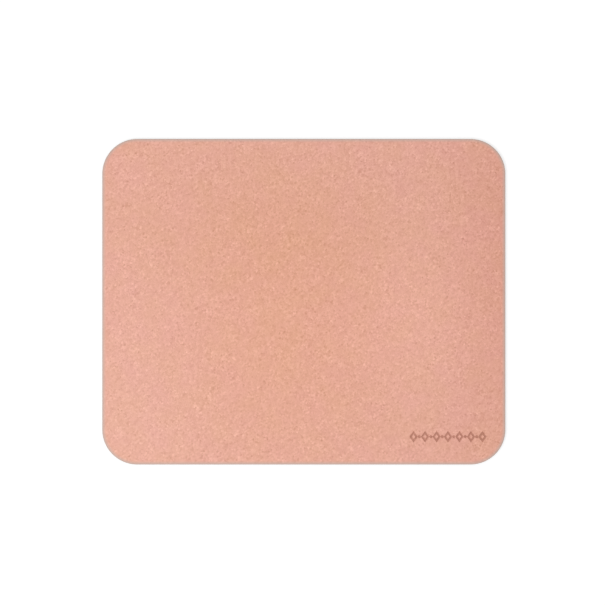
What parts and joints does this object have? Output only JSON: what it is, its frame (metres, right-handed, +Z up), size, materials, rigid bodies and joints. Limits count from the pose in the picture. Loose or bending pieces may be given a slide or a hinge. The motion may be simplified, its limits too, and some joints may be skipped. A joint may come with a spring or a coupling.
{
  "type": "mouse pad",
  "caption": "Flat rectangular desk mouse pad with rounded corners: a natural leather top with a burnished edge, bonded to a non-slip rubber base.",
  "frame": {"origin": "middle of the underside, on the desk", "axes": "+X along the long side to the user's right, +Y away from the user, +Z up through the pad"},
  "size_m": [0.26, 0.21, 0.0037],
  "materials": {
    "leather": "natural leather that looks vegetable-tanned, peach nude shade, fine even grain, matt to satin, edge burnished round",
    "adhesive": "dried contact adhesive, a thin amber film",
    "rubber": "matt black natural rubber sheet with a fine grip texture underneath"
  },
  "bodies": {
    "root": {"leather_top": "leather", "adhesive_film": "adhesive", "rubber_base": "rubber"}
  },
  "joints": []
}
